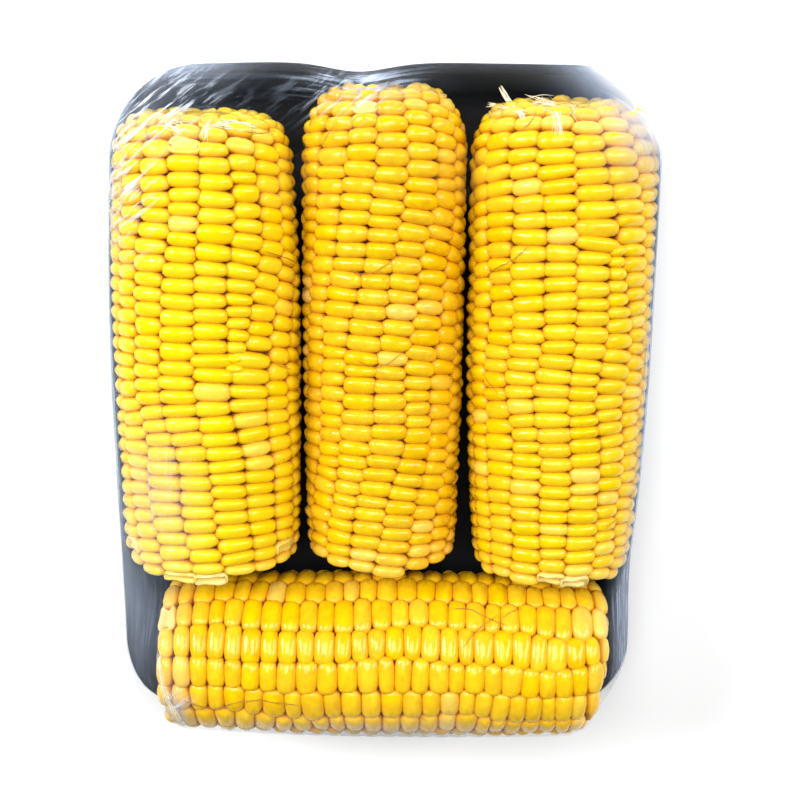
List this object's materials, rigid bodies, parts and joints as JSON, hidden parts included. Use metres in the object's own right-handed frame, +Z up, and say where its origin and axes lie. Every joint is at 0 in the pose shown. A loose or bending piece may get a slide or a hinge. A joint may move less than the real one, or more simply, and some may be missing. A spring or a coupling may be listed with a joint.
{
  "type": "tray of sweet corn",
  "caption": "Husked ears of sweet corn side by side on a dark foam tray, with one ear across the near end, overwrapped in tight clear film.",
  "frame": {"origin": "under the middle of the pack, on the surface that it rests on", "axes": "+Y along the tray, from the ear that lies across to the far ends of the other ears; +X across the tray, to the right as the ears are seen from above with the lying ear nearest; +Z up"},
  "size_m": [0.168, 0.212, 0.0642],
  "materials": {
    "foam": "smooth black expanded foam with a faint satin skin",
    "corn": "moist glossy yellow kernels, deeper orange in the grooves",
    "film": "clear glossy stretch film with creases at the corners"
  },
  "bodies": {
    "root": {"tray": "foam", "ear_left": "corn", "ear_middle": "corn", "ear_right": "corn", "ear_across": "corn", "film": "film"}
  },
  "joints": []
}
